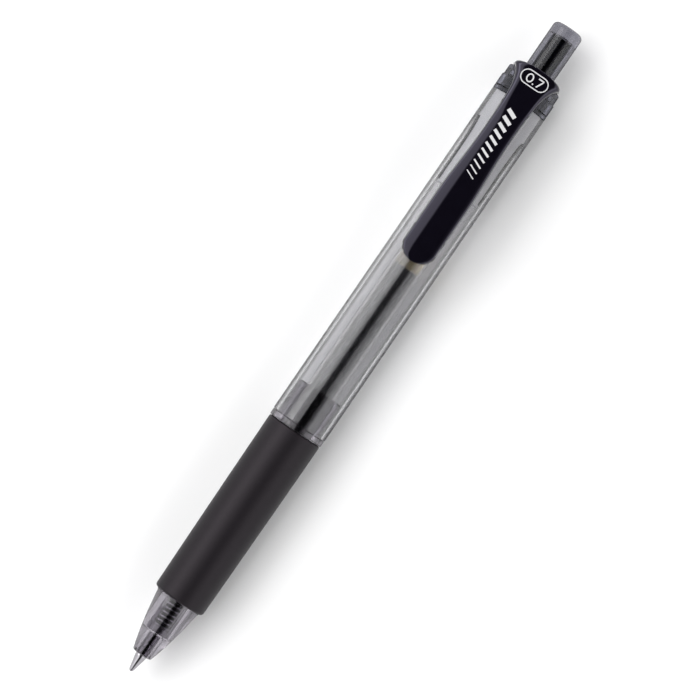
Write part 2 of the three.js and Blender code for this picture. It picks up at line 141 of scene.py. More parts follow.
# Places along the pen, counted as "at"
NOSE_END = 12
SPRING_BORE_END = 20
CAM_RIB = 111.6
CAM_RIB_START = 108.3
ROTOR_BORE_END = 110.5
CROWN_TIP = 113.4
CROWN_DEPTH = 0.9
FIN_START = 114.6
LEDGE_END = 116
PIN_END = 116.5
FIN_END = 117.2
SHOULDER = 117.3
FLANGE_START = 117.5
PIN_BORE_END = 118
FLANGE_END = 118.7

# The rotor turns 60 degrees as the button travels 5.5 mm
CLICK_TURN_PER_MM = 60 / 5.5

THREAD_PITCH = 1.5
THREAD_DEPTH = 0.16

# Ribs, in degrees round the axis: those of the cam sleeve, and those of the nose with their heights
CENTRING_RIBS = (20, 160, 200, 340)
NOSE_RIBS = ((75.9, 0.07), (84.4, 0.07), (126.6, 0.06), (137.8, 0.06))
NOSE_RIB_HALF_WIDTH = 2.8


# ------------------------------------------------------------------------------------------------
# Mesh helpers


def place(point):
    at, y, z = point
    return (NOSE_X + at * MM, y * MM, AXIS_Z + z * MM)


def rounded(points, steps=4):
    """A profile whose corners with a third number are rounded off by that much."""
    closed = points[0][1] > 0 or points[-1][1] > 0
    count = len(points)
    result = []
    for i, point in enumerate(points):
        at_end = not closed and i in (0, count - 1)
        if len(point) < 3 or at_end:
            result.append(point[:2])
            continue
        corner = Vector(point[:2])
        before = Vector(points[i - 1][:2]) - corner
        after = Vector(points[(i + 1) % count][:2]) - corner
        reach = min(point[2], 0.45 * before.length, 0.45 * after.length)
        a = corner + before.normalized() * reach
        b = corner + after.normalized() * reach
        for k in range(steps + 1):
            t = k / steps
            bent = a * (1 - t) ** 2 + corner * 2 * t * (1 - t) + b * t**2
            result.append(tuple(bent))
    return result


def arc(at, radius, bend, start, end, steps=10):
    """Points of an arc in a profile, between two angles in degrees, 0 along +at, 90 outwards."""
    angles = [math.radians(start + (end - start) * i / steps) for i in range(steps + 1)]
    return [(at + bend * math.cos(a), radius + bend * math.sin(a)) for a in angles]


def swept(start, control, end, steps=14):
    """Points of a smooth profile line between two ends, pulled towards a control point."""
    a, b, c = Vector(start), Vector(control), Vector(end)
    ts = [i / steps for i in range(steps + 1)]
    return [tuple(a * (1 - t) ** 2 + b * 2 * t * (1 - t) + c * t**2) for t in ts]


def turned(profile, sides=FINE_SIDES, warp=None):
    """Vertices and faces of a turned piece: a closed ring, or a line with both ends on the axis."""
    verts, faces, rows = [], [], []
    for at, radius in profile:
        if radius < 1e-6:
            rows.append([len(verts)])
            verts.append((at, 0, 0))
            continue
        row = []
        for i in range(sides):
            angle = 2 * math.pi * i / sides
            r = radius + (warp(at, angle, radius) if warp else 0)
            row.append(len(verts))
            verts.append((at, r * math.cos(angle), r * math.sin(angle)))
        rows.append(row)
    ring = profile[0][1] > 1e-6
    pairs = list(zip(rows, rows[1:])) + ([(rows[-1], rows[0])] if ring else [])
    for low, high in pairs:
        for i in range(sides):
            k = (i + 1) % sides
            if len(low) == 1 and len(high) == 1:
                break
            if len(low) == 1:
                faces.append((low[0], high[k], high[i]))
            elif len(high) == 1:
                faces.append((low[i], low[k], high[0]))
            else:
                faces.append((low[i], low[k], high[k], high[i]))
    return verts, faces


def sphere(centre, radius, steps, sides=48):
    """A ball on the pen's axis."""
    profile = arc(centre, 0, radius, 180, 0, steps)
    profile[0] = (profile[0][0], 0)
    profile[-1] = (profile[-1][0], 0)
    return turned(profile, sides)


def wrapped(outline, inner, outer, turn):
    """A closed body from an outline of (degrees, at), wrapped around the axis between two radii."""
    fine = []
    for (angle, at), (next_angle, next_at) in zip(outline, outline[1:] + outline[:1]):
        steps = max(1, math.ceil(abs(next_angle - angle) / 2))
        fine += [
            (angle + (next_angle - angle) * k / steps, at + (next_at - at) * k / steps)
            for k in range(steps)
        ]
    count = len(fine)
    verts = []
    for radius in (inner, outer):
        for angle, at in fine:
            a = math.radians(angle + turn)
            verts.append((at, radius * math.cos(a), radius * math.sin(a)))
    faces = [tuple(range(count)), tuple(range(2 * count - 1, count - 1, -1))]
    faces += [(i, (i + 1) % count, (i + 1) % count + count, i + count) for i in range(count)]
    return verts, faces


def lofted(sections):
    """A closed body through rings of equal length."""
    count = len(sections[0])
    verts = [p for section in sections for p in section]
    faces = [tuple(range(count)), tuple(range(len(verts) - 1, len(verts) - count - 1, -1))]
    for i in range(len(sections) - 1):
        for j in range(count):
            k = (j + 1) % count
            faces.append((i * count + j, i * count + k, (i + 1) * count + k, (i + 1) * count + j))
    return verts, faces


def wire(points, radius, sides=12):
    """A round wire along a list of points."""
    path = [Vector(p) for p in points]
    sections = []
    side = None
    for i, point in enumerate(path):
        ahead = (path[min(i + 1, len(path) - 1)] - path[max(i - 1, 0)]).normalized()
        if side is None:
            side = ahead.orthogonal()
        side = (side - ahead * side.dot(ahead)).normalized()
        up = ahead.cross(side)
        section = []
        for k in range(sides):
            angle = 2 * math.pi * k / sides
            out = side * math.cos(angle) + up * math.sin(angle)
            section.append(tuple(point + radius * out))
        sections.append(section)
    return lofted(sections)


def merged(shapes):
    """Several closed bodies as one shape, side by side."""
    verts, faces = [], []
    for shape_verts, shape_faces in shapes:
        offset = len(verts)
        verts += shape_verts
        faces += [tuple(i + offset for i in face) for face in shape_faces]
    return verts, faces


def new_mesh_object(name, verts, faces):
    mesh = bpy.data.meshes.new(name)
    mesh.from_pydata([place(v) for v in verts], [], faces)
    piece = bpy.data.objects.new(name, mesh)
    bpy.context.scene.collection.objects.link(piece)
    return piece


def apply_modifiers(piece):
    bpy.context.view_layer.objects.active = piece
    with bpy.context.temp_override(object=piece, active_object=piece, selected_objects=[piece]):
        for modifier in list(piece.modifiers):
            bpy.ops.object.modifier_apply(modifier=modifier.name)


def joined(name, bodies):
    """One object from several closed bodies that run into each other."""
    first, *others = [new_mesh_object(f"{name}_{i}", *body) for i, body in enumerate(bodies)]
    for other in [first, *others]:
        orient(other.data)
    for other in others:
        union = first.modifiers.new("union", "BOOLEAN")
        union.operation = "UNION"
        union.solver = "EXACT"
        union.object = other
    apply_modifiers(first)
    for other in others:
        bpy.data.objects.remove(other)
    first.name = name
    first.data.name = name
    return first


def orient(mesh):
    """Double vertices joined, and all faces turned outwards."""
    bm = bmesh.new()
    bm.from_mesh(mesh)
    bmesh.ops.remove_doubles(bm, verts=bm.verts, dist=1e-8)
    bmesh.ops.recalc_face_normals(bm, faces=bm.faces)
    bm.to_mesh(mesh)
    bm.free()


def finished(piece, body, material, nodes=(), sharp=32):
    """Faces out, smooth between sharp edges, with its material and body; the frame's parts that it
    stands in for are hidden.
    """
    mesh = piece.data
    orient(mesh)
    bm = bmesh.new()
    bm.from_mesh(mesh)
    limit = math.radians(sharp)
    for face in bm.faces:
        face.smooth = True
    for edge in bm.edges:
        if len(edge.link_faces) == 2 and edge.calc_face_angle(0) > limit:
            edge.smooth = False
    bm.to_mesh(mesh)
    bm.free()
    mesh.materials.clear()
    mesh.materials.append(material)
    if body:
        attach(piece, body)
    if nodes:
        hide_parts(*nodes)
    return piece


def make(name, shape, body, material, nodes=(), sharp=32):
    return finished(new_mesh_object(name, *shape), body, material, nodes, sharp)


# ------------------------------------------------------------------------------------------------
# Materials


WHITE = (1.0, 1.0, 1.0)
# The colour of the painted shade on turned steel, where it faces the viewer and at its edges
STEEL_SHADE = (0.012, 0.011, 0.014)


def set_stops(ramp, stops):
    """A grey ramp's stops, each a position and a level."""
    while len(ramp.elements) < len(stops):
        ramp.elements.new(0.5)
    for element, (position, level) in zip(ramp.elements, stops):
        element.position = position
        element.color = (level, level, level, 1)


class Look:
    """A material's node tree, with short calls for the nodes that the looks below share."""

    def __init__(self, name):
        self.material = bpy.data.materials.new(name)
        self.material.use_nodes = True
        self.tree = self.material.node_tree
        self.tree.nodes.clear()
        self.shader = self.node("ShaderNodeBsdfPrincipled")
        self.output = self.node("ShaderNodeOutputMaterial")
        self.link(self.shader.outputs[0], self.output.inputs["Surface"])

    def node(self, kind, **settings):
        made = self.tree.nodes.new(kind)
        for key, value in settings.items():
            setattr(made, key, value)
        return made

    def link(self, source, target):
        self.tree.links.new(source, target)

    def set(self, **values):
        for key, value in values.items():
            self.shader.inputs[key.replace("_", " ")].default_value = value

    def place_of(self, stretch):
        """Object coordinates in millimetres, squeezed along the pen for marks that run along it."""
        coordinates = self.node("ShaderNodeTexCoord")
        mapping = self.node("ShaderNodeMapping")
        mapping.inputs["Scale"].default_value = [s / MM for s in stretch]
        self.link(coordinates.outputs["Object"], mapping.inputs["Vector"])
        return mapping.outputs[0]

    def noise(self, scale, stretch=(1, 1, 1), detail=4.0, rough=0.6):
        texture = self.node("ShaderNodeTexNoise")
        texture.inputs["Scale"].default_value = scale
        texture.inputs["Detail"].default_value = detail
        texture.inputs["Roughness"].default_value = rough
        self.link(self.place_of(stretch), texture.inputs["Vector"])
        return texture.outputs["Fac"]

    def ranged(self, source, low, high, start=0.3, end=0.7):
        ranged = self.node("ShaderNodeMapRange")
        ranged.inputs["From Min"].default_value = start
        ranged.inputs["From Max"].default_value = end
        ranged.inputs["To Min"].default_value = low
        ranged.inputs["To Max"].default_value = high
        self.link(source, ranged.inputs["Value"])
        return ranged.outputs[0]

    def mixed(self, source, first, second):
        ramp = self.node("ShaderNodeMix", data_type="RGBA")
        ramp.inputs["A"].default_value = (*first, 1)
        ramp.inputs["B"].default_value = (*second, 1)
        self.link(source, ramp.inputs["Factor"])
        return ramp.outputs["Result"]

    def colour(self, source, first, second):
        self.link(self.mixed(source, first, second), self.shader.inputs["Base Color"])

    def roughness(self, source, low, high):
        self.link(self.ranged(source, low, high), self.shader.inputs["Roughness"])

    def mix_shaders(self, first_factor, base, second, last_factor, last):
        """The base mixed with a second shader, and both with a last one, out to the surface."""
        inner = self.node("ShaderNodeMixShader")
        outer = self.node("ShaderNodeMixShader")
        self.link(first_factor, inner.inputs[0])
        self.link(base.outputs[0], inner.inputs[1])
        self.link(second.outputs[0], inner.inputs[2])
        self.link(last_factor, outer.inputs[0])
        self.link(inner.outputs[0], outer.inputs[1])
        self.link(last.outputs[0], outer.inputs[2])
        self.link(outer.outputs[0], self.output.inputs["Surface"])

    def bump(self, source, height_mm, strength=1.0):
        bump = self.node("ShaderNodeBump")
        bump.inputs["Strength"].default_value = strength
        bump.inputs["Distance"].default_value = height_mm * MM
        self.link(source, bump.inputs["Height"])
        self.link(bump.outputs[0], self.shader.inputs["Normal"])


def clear_plastic(name, tint, faint, shadow, ior, rough, rim, rim_shade_span, rim_shade_most):
    """
    Moulded clear plastic: faint flow marks and hairline scratches, a soft see-through shadow, and
    a dark rim of painted shade where the wall is seen edge on, for the little light it passes there.
    The painted rim grows over its span of facing values up to its most.
    """
    look = Look(name)
    look.set(Transmission_Weight=1.0, IOR=ior)
    look.colour(look.noise(0.35, (0.3, 1, 1)), tint, faint)
    look.roughness(look.noise(3.0, (0.15, 2, 2), detail=6), *rough)
    look.bump(look.noise(0.4, (0.4, 1, 1), detail=1), 0.006, 0.25)
    facing = look.node("ShaderNodeLayerWeight")
    facing.inputs["Blend"].default_value = 0.5
    edge = look.node("ShaderNodeMapRange", interpolation_type="SMOOTHSTEP")
    edge.inputs["From Min"].default_value, edge.inputs["From Max"].default_value = rim_shade_span
    edge.inputs["To Max"].default_value = rim_shade_most
    look.link(facing.outputs["Facing"], edge.inputs["Value"])
    # Painted shade: a dark diffuse colour mixed in by facing where the wall is seen edge on
    dark = look.node("ShaderNodeBsdfDiffuse")
    dark.inputs["Color"].default_value = (*rim, 1)
    through = look.node("ShaderNodeBsdfTransparent")
    through.inputs["Color"].default_value = (*shadow, 1)
    path = look.node("ShaderNodeLightPath")
    look.mix_shaders(edge.outputs[0], look.shader, dark, path.outputs["Is Shadow Ray"], through)
    return look.material


def opaque_plastic(name, colour, other, rough, grain=0.004, grain_scale=6.0, shine=0.5, tint=WHITE):
    """Moulded plastic with a faint grain: its shine and its tint are those of the reflections."""
    look = Look(name)
    look.set(IOR=1.5, Specular_IOR_Level=shine, Specular_Tint=(*tint, 1))
    look.colour(look.noise(0.6), colour, other)
    look.roughness(look.noise(2.5, (0.3, 1.5, 1.5), detail=6), *rough)
    look.bump(look.noise(grain_scale, detail=6), grain, 0.6)
    return look.material


def turned_steel(name, colour, other, rough, shade=0.0):
    """
    Steel with the fine rings that turning leaves across its axis. The shade is painted shade: it
    darkens the colour where the steel faces the viewer and at its edges, standing in for the dark
    reflections of bright metal in a white studio.
    """
    look = Look(name)
    look.set(Metallic=1.0)
    # Painted shade: the colour turns towards STEEL_SHADE by facing, at the middle and at the edges
    facing = look.node("ShaderNodeLayerWeight")
    facing.inputs["Blend"].default_value = 0.5
    ramp = look.node("ShaderNodeValToRGB")
    stops = ((0.0, shade), (0.022, shade), (0.045, 0.0), (0.60, 0.0), (0.85, 0.8 * shade))
    set_stops(ramp.color_ramp, stops)
    look.link(facing.outputs["Facing"], ramp.inputs[0])
    shaded = look.node("ShaderNodeMix", data_type="RGBA")
    look.link(look.mixed(look.noise(1.2), colour, other), shaded.inputs["A"])
    shaded.inputs["B"].default_value = (*STEEL_SHADE, 1)
    look.link(ramp.outputs[0], shaded.inputs["Factor"])
    look.link(shaded.outputs["Result"], look.shader.inputs["Base Color"])
    look.roughness(look.noise(9.0, (3, 0.05, 0.05), detail=5), *rough)
    look.bump(look.noise(14.0, (3, 0.02, 0.02), detail=4), 0.002, 0.35)
    return look.material


def grip_rubber(name):
    """Smooth black rubber: a fine matte grain, a little dust-grey in the pores and a soft sheen."""
    look = Look(name)
    look.set(IOR=1.45, Specular_IOR_Level=0.25, Specular_Tint=(1.0, 0.9, 0.98, 1))
    look.colour(look.noise(1.4, detail=8), (0.0056, 0.0046, 0.0058), (0.0088, 0.0074, 0.0092))
    look.roughness(look.noise(5.0, detail=8), 0.40, 0.52)
    look.bump(look.noise(22.0, detail=5), 0.006, 0.5)
    return look.material


# Each clear plastic's rim is the colour of the painted shade on its edge-on wall
SMOKE = clear_plastic(
    "smoke_plastic",
    tint=(0.38, 0.360, 0.395),
    faint=(0.32, 0.300, 0.340),
    shadow=(0.50, 0.49, 0.51),
    ior=1.46,
    rough=(0.0, 0.02),
    rim=(0.03, 0.028, 0.032),
    rim_shade_span=(0.60, 0.92),
    rim_shade_most=0.6,
)
SMOKE_CAP = clear_plastic(
    "smoke_plastic_cap",
    tint=(0.28, 0.28, 0.34),
    faint=(0.12, 0.125, 0.18),
    shadow=(0.45, 0.45, 0.48),
    ior=1.42,
    rough=(0.0, 0.03),
    rim=(0.008, 0.008, 0.012),
    rim_shade_span=(0.45, 0.9),
    rim_shade_most=0.9,
)
SMOKE_BUTTON = clear_plastic(
    "smoke_plastic_button",
    tint=(0.26, 0.255, 0.29),
    faint=(0.11, 0.11, 0.14),
    shadow=(0.45, 0.44, 0.46),
    ior=1.38,
    rough=(0.0, 0.02),
    rim=(0.01, 0.01, 0.013),
    rim_shade_span=(0.55, 0.9),
    rim_shade_most=0.9,
)
CLEAR = clear_plastic(
    "clear_plastic",
    tint=(0.74, 0.74, 0.75),
    faint=(0.66, 0.66, 0.675),
    shadow=(0.76, 0.76, 0.77),
    ior=1.42,
    rough=(0.0, 0.03),
    rim=(0.03, 0.028, 0.032),
    rim_shade_span=(0.43, 0.70),
    rim_shade_most=0.6,
)
NATURAL = clear_plastic(
    "natural_tube_plastic",
    tint=(0.86, 0.86, 0.86),
    faint=(0.80, 0.80, 0.81),
    shadow=(0.8, 0.8, 0.8),
    ior=1.49,
    rough=(0.12, 0.22),
    rim=(0.5, 0.5, 0.5),
    rim_shade_span=(0.8, 1.0),
    rim_shade_most=0.3,
)
GREASE = clear_plastic(
    "amber_grease",
    tint=(0.80, 0.70, 0.45),
    faint=(0.72, 0.60, 0.35),
    shadow=(0.7, 0.6, 0.4),
    ior=1.47,
    rough=(0.05, 0.12),
    rim=(0.4, 0.3, 0.2),
    rim_shade_span=(0.8, 1.0),
    rim_shade_most=0.3,
)
MILKY = opaque_plastic(
    "silver_grey_plastic", (0.66, 0.66, 0.67), (0.56, 0.56, 0.575), (0.28, 0.42)
)
INK = opaque_plastic(
    "black_gel_ink", (0.004, 0.004, 0.005), (0.008, 0.008, 0.010), (0.08, 0.18), 0.001
)
BLACK = opaque_plastic(
    "gloss_black_plastic", (0.0022, 0.0016, 0.0035), (0.0035, 0.0030, 0.0060), (0.04, 0.09),
    0.001, 2.0, tint=(0.82, 0.78, 1.0),
)
HOLDER = opaque_plastic(
    "black_holder_plastic", (0.006, 0.006, 0.008), (0.012, 0.012, 0.015), (0.16, 0.28),
    0.002, shine=0.12,
)
SLATE = opaque_plastic(
    "slate_plastic", (0.010, 0.011, 0.018), (0.018, 0.020, 0.030), (0.06, 0.12),
    0.001, shine=0.22, tint=(0.72, 0.78, 1.0),
)
PRINT = opaque_plastic(
    "white_print", (0.62, 0.62, 0.62), (0.52, 0.52, 0.53), (0.4, 0.6), 0.003, 12.0
)
# Turned steel and carbide carry painted shade by facing; the spring wire carries none
STEEL = turned_steel("turned_steel", (0.38, 0.37, 0.39), (0.31, 0.30, 0.32), (0.08, 0.18), 0.95)
SPRING_STEEL = turned_steel("drawn_wire_steel", (0.72, 0.72, 0.73), (0.60, 0.60, 0.62), (0.08, 0.20))
CARBIDE = turned_steel("carbide", (0.14, 0.14, 0.15), (0.10, 0.10, 0.11), (0.05, 0.12), 0.9)
RETAINER = opaque_plastic(
    "black_retainer_plastic", (0.008, 0.009, 0.016), (0.022, 0.024, 0.036), (0.2, 0.35), 0.003
)
RUBBER = grip_rubber("black_rubber")


# ------------------------------------------------------------------------------------------------
# Refill


def writing_ball():
    shape = sphere(TIP_END + BALL_RADIUS, BALL_RADIUS, 24)
    make("ball_piece", shape, "ball", CARBIDE, ["writing_ball"])


def tip_point():
    """The steel cone and shank, with a shallow groove, on a stem in the holder."""
    front = TIP_END
    groove_start, groove_end = 1.55, 2.75
    stem = HOLDER_START + 2
    profile = rounded([
        (front + 0.2, 0.365),
        (front + 0.24, 0.4, 0.03),
        (front + 0.55, 0.5, 0.12),
        (front + 3.5, POINT_RADIUS - 0.01, 0.5),
        (groove_start, POINT_RADIUS, 0.05),
        (groove_start + 0.15, POINT_RADIUS - 0.12, 0.05),
        (groove_end - 0.15, POINT_RADIUS - 0.12, 0.05),
        (groove_end, POINT_RADIUS, 0.05),
        (HOLDER_START - 0.1, POINT_RADIUS, 0.12),
        (HOLDER_START - 0.1, STEM_RADIUS),
        (stem, STEM_RADIUS, 0.1),
        (stem, 0.42),
        (front + 1.9, 0.42),
        (front + 1.5, 0.16),
        (front + 0.95, 0.16),
        (front + 0.72, 0.37),
    ])
    make("point_piece", turned(profile, 96), "refill", STEEL, ["tip_point"])


def ball_spring():
    """A fine coil behind the ball, with a straight end that presses on it."""
    start, coil_start, end = TIP_END + 0.8, TIP_END + 2.3, 3.2
    turns, steps, coil_radius = 7, 24, 0.26
    points = [(start + (coil_start - start) * i / 6, 0, 0) for i in range(6)]
    for i in range(turns * steps + 1):
        turn = i / steps
        radius = coil_radius * min(1, turn)
        angle = 2 * math.pi * turn
        at = coil_start + (end - coil_start) * turn / turns
        points.append((at, radius * math.sin(angle), radius * math.cos(angle)))
    shape = wire(points, 0.055, 8)
    make("ball_spring_piece", shape, "refill", SPRING_STEEL, ["ball_spring"])


def tip_holder():
    """The core inside the spring: a flange for the spring's rear end, and a spigot in the tube."""
    flange = 2.85
    profile = rounded([
        (HOLDER_START, 0.9),
        (HOLDER_START, 1.35, 0.1),
        (HOLDER_START + 0.4, HOLDER_RADIUS, 0.1),
        (SPRING_BACK, HOLDER_RADIUS, 0.15),
        (SPRING_BACK, flange, 0.15),
        (SPRING_BACK + 1.2, flange, 0.1),
        (SPRING_BACK + 1.2, TUBE_BORE - 0.05),
        (SPRING_BACK + 6, TUBE_BORE - 0.05, 0.2),
        (SPRING_BACK + 6, 1.3),
        (HOLDER_START + 5.6, 1.1),
        (HOLDER_START + 4.1, 0.9),
    ])
    make("holder_piece", turned(profile, 96), "refill", HOLDER, ["tip_holder"])


def check_ball():
    shape = sphere(HOLDER_START + 6, CHECK_BALL_RADIUS, 20)
    make("check_ball_piece", shape, "refill", STEEL, ["check_ball"])


def ink_and_tube():
    tube_start = SPRING_BACK + 1.3
    tube = rounded([
        (tube_start, TUBE_BORE),
        (tube_start, TUBE_RADIUS, 0.1),
        (REFILL_END - 1.1, TUBE_RADIUS, 0.1),
        (REFILL_END - 1.1, TUBE_BORE),
    ])
    make("tube_piece", turned(tube), "refill", NATURAL, ["ink_tube"])
    ink = rounded([
        (HOLDER_START + 7, 0),
        (HOLDER_START + 7, 1.0),
        (SPRING_BACK + 6.1, 1.2),
        (SPRING_BACK + 6.1, INK_RADIUS, 0.3),
        (INK_END, INK_RADIUS, 0.3),
        (INK_END, 0),
    ])
    make("ink_piece", turned(ink), "refill", INK, ["ink_column"])
    grease = rounded([
        (INK_END + 0.1, 0),
        (INK_END + 0.1, INK_RADIUS, 0.2),
        (INK_END + 4.5, INK_RADIUS, 0.1),
        (INK_END + 3.9, 1.3, 0.5),
        (INK_END + 3.7, 0),
    ])
    make("grease_piece", turned(grease), "refill", GREASE, ["ink_follower"])
    plug = rounded([
        (REFILL_END - 5, 1.9, 0.2),
        (REFILL_END - 4.6, TUBE_BORE - 0.05, 0.2),
        (REFILL_END - 1, TUBE_BORE - 0.05),
        (REFILL_END - 1, TUBE_RADIUS - 0.05, 0.1),
        (REFILL_END, TUBE_RADIUS - 0.25, 0.3),
        (REFILL_END, 0.7, 0.1),
        (REFILL_END - 5, 0.7),
    ])
    make("tail_plug_piece", turned(plug, 96), "refill", MILKY, ["tail_plug"])


def return_spring():
    """Ground, closed end turns and open turns between. It stretches between nose and refill."""
    closed_turns, open_turns, steps = 3, 16, 40
    start = SPRING_SEAT + WIRE_RADIUS + 0.05
    end = SPRING_BACK - WIRE_RADIUS - 0.05
    closed_pitch = 2.1 * WIRE_RADIUS
    open_pitch = (end - start - 2 * closed_turns * closed_pitch) / open_turns
    points = []
    for i in range((2 * closed_turns + open_turns) * steps + 1):
        turn = i / steps
        opened = min(max(turn - closed_turns, 0), open_turns)
        at = start + opened * open_pitch + (turn - opened) * closed_pitch
        angle = 2 * math.pi * turn
        points.append((at, COIL_RADIUS * math.cos(angle), COIL_RADIUS * math.sin(angle)))
    shape = wire(points, WIRE_RADIUS)
    piece = make("return_spring_piece", shape, None, SPRING_STEEL, ["return_spring"])
    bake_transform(piece)


# ------------------------------------------------------------------------------------------------
# Front section


def front_barrel():
    """Clear nose and sleeve in one, with slim ribs round the spring and a thread on its spigot."""
    spring_bore = COIL_RADIUS + WIRE_RADIUS + 0.15
    spigot_radius = BORE_RADIUS - 0.12
    root_radius = spigot_radius - THREAD_DEPTH
    sleeve_bore = 3.4
    thread_start = COLLAR_END + 1.2
    thread_end = SPIGOT_END - 0.7
    thread_length = thread_end - thread_start
    rows = 60
    thread_rows = [(thread_start + thread_length * i / rows, root_radius) for i in range(rows + 1)]
    profile = rounded([
        *arc(0.5, 1.55, 0.5, 180, 90, 8),
        *swept((0.55, 2.06), (4.9, 3.4), (NOSE_END - 0.3, NOSE_RADIUS - 0.04), 24),
        (NOSE_END - 0.26, NOSE_RADIUS + 0.08, 0.04),
        (NOSE_END - 0.04, NOSE_RADIUS + 0.08, 0.04),
        (NOSE_END, NOSE_RADIUS),
        (GRIP_END + 0.1, NOSE_RADIUS),
        (GRIP_END + 0.1, COLLAR_RADIUS, 0.15),
        (COLLAR_END, COLLAR_RADIUS, 0.12),
        (COLLAR_END, root_radius),
        *thread_rows,
        (SPIGOT_END - 0.3, root_radius, 0.1),
        (SPIGOT_END, BORE_RADIUS - 0.5, 0.1),
        (SPIGOT_END, sleeve_bore, 0.1),
        (SPRING_BORE_END, sleeve_bore, 0.2),
        (SPRING_BORE_END, spring_bore, 0.2),
        (SPRING_SEAT, spring_bore, 0.15),
        (SPRING_SEAT - 0.3, POINT_RADIUS + 0.08, 0.1),
        (0.2, POINT_RADIUS + 0.08),
        (0, POINT_RADIUS + 0.2, 0.05),
    ])

    def rib_height(angle):
        """Slim ribs with sharp crests round the bore."""
        turn = math.degrees(angle)
        return max(
            height * max(0, 1 - abs(turn - rib) / NOSE_RIB_HALF_WIDTH) for rib, height in NOSE_RIBS
        )

    def thread_and_ribs(at, angle, radius):
        if abs(radius - spring_bore) < 0.01 and SPRING_SEAT < at < SPRING_BORE_END + 0.05:
            return -rib_height(angle)
        if not thread_start < at < thread_end or radius < spigot_radius - 0.2:
            return 0
        run_out = min(1, (at - thread_start) / THREAD_PITCH, (thread_end - at) / THREAD_PITCH)
        wave = math.cos(2 * math.pi * (at / THREAD_PITCH) - angle)
        return THREAD_DEPTH * run_out * max(0, wave) ** 0.7

    shape = turned(profile, FINE_SIDES, thread_and_ribs)
    make("nose_and_sleeve", shape, "front", SMOKE, ["front_barrel"])


def rubber_grip():
    profile = rounded([
        (GRIP_START, NOSE_RADIUS + 0.06, 0.05),
        *arc(GRIP_START + 0.6, 4.6, 0.6, 180, 90, 12),
        (GRIP_START + 10, 5.3, 3),
        (GRIP_START + 24, 5.42, 3),
        (GRIP_END, 5.5, 0.3),
        (GRIP_END, NOSE_RADIUS + 0.06, 0.05),
    ])
    make("grip_piece", turned(profile), "front", RUBBER, ["rubber_grip"])


# ------------------------------------------------------------------------------------------------
# Rear section


def opening(clearance, steps=20):
    """Where the bore opens out towards the cap, or a line inside it by a clearance."""
    narrow = BORE_RADIUS - clearance
    wide = REAR_BORE_RADIUS - clearance
    return swept((HEAD_END - 19, narrow), (HEAD_END - 15.5, narrow), (HEAD_END - 12.7, wide), steps)


def rear_barrel():
    profile = rounded([
        (COLLAR_END + 0.1, BORE_RADIUS, 0.1),
        (COLLAR_END + 0.1, BARREL_RADIUS, 0.12),
        (CAP_START - 0.1, BARREL_RADIUS, 0.06),
        (CAP_START - 0.1, REAR_BORE_RADIUS, 0.05),
        *opening(0)[::-1],
    ])
    make("barrel_piece", turned(profile), "rear", CLEAR, ["rear_barrel"])


def rear_cap():
    """The smoky ring behind the barrel, with a fine groove, open for the clip's collar."""
    notch = HEAD_END - 6.0
    profile = rounded([
        (CAP_START, 4.9),
        (CAP_START, BARREL_RADIUS, 0.06),
        (notch - 0.08, BARREL_RADIUS),
        (notch, BARREL_RADIUS - 0.3),
        (notch + 0.08, BARREL_RADIUS),
        (HEAD_END - 3.7, BARREL_RADIUS, 0.06),
        (HEAD_END - 3.6, CAP_RADIUS, 0.06),
        *arc(HEAD_END - 1.9, 5.0, 0.45, 90, 0, 10),
        (HEAD_END - 2.35, 4.98),
        (HEAD_END - 2.35, CAP_BORE, 0.1),
        (HEAD_END - 3.3, CAP_BORE, 0.1),
        (HEAD_END - 3.3, 4.9, 0.15),
    ])
    make("cap_piece", turned(profile), "rear", SMOKE_CAP, ["rear_cap"])


def cam_sleeve():
    """The lining with three slanted ledges that the rotor's ribs rest on, and its centring ribs."""
    outside = opening(BORE_RADIUS - SLEEVE_RADIUS)
    wide = REAR_BORE_RADIUS - BORE_RADIUS + SLEEVE_RADIUS
    sleeve = turned(rounded([
        (SLEEVE_START, SLEEVE_BORE, 0.1),
        (SLEEVE_START, SLEEVE_RADIUS, 0.2),
        *outside,
        (CAP_START - 0.15, wide, 0.1),
        (CAP_START - 0.15, SLEEVE_BORE, 0.1),
    ]))
    half = 14

    def front(angle):
        return CAM_RIB + 0.2 + angle / CLICK_TURN_PER_MM

    ledge = [(-half, front(-half)), (half, front(half)), (half, LEDGE_END), (-half, LEDGE_END)]
    ledges = [wrapped(ledge, 3.15, 4.3, 90 + 120 * i) for i in range(3)]
    piece = joined("sleeve_piece", [sleeve, *ledges])
    finished(piece, "rear", MILKY, ["cam_sleeve"])
    line = [(SLEEVE_START + 0.5, SLEEVE_RADIUS), *outside]
    ribs = []
    for degrees in CENTRING_RIBS:
        turn = math.radians(degrees)
        ribs.append(lofted([
            [
                (
                    at,
                    (radius + out) * math.cos(turn) - up * math.sin(turn),
                    (radius + out) * math.sin(turn) + up * math.cos(turn),
                )
                for out, up in rib_outline(at)
            ]
            for at, radius in line
        ]))
    make("sleeve_ribs_piece", merged(ribs), "rear", HOLDER)


def rib_outline(at):
    """Across a centring rib, out from the sleeve and up: thicker where the bore opens out."""
    half = 0.16 + 0.12 * math.exp(-((HEAD_END - at - 14.5) / 1.8) ** 2)
    height = BORE_RADIUS - SLEEVE_RADIUS - 0.04
    corners = [(-0.15, half), (height - 0.04, half), (height, half - 0.05)]
    corners += [(height, 0.05 - half), (height - 0.04, -half), (-0.15, -half)]
    return corners


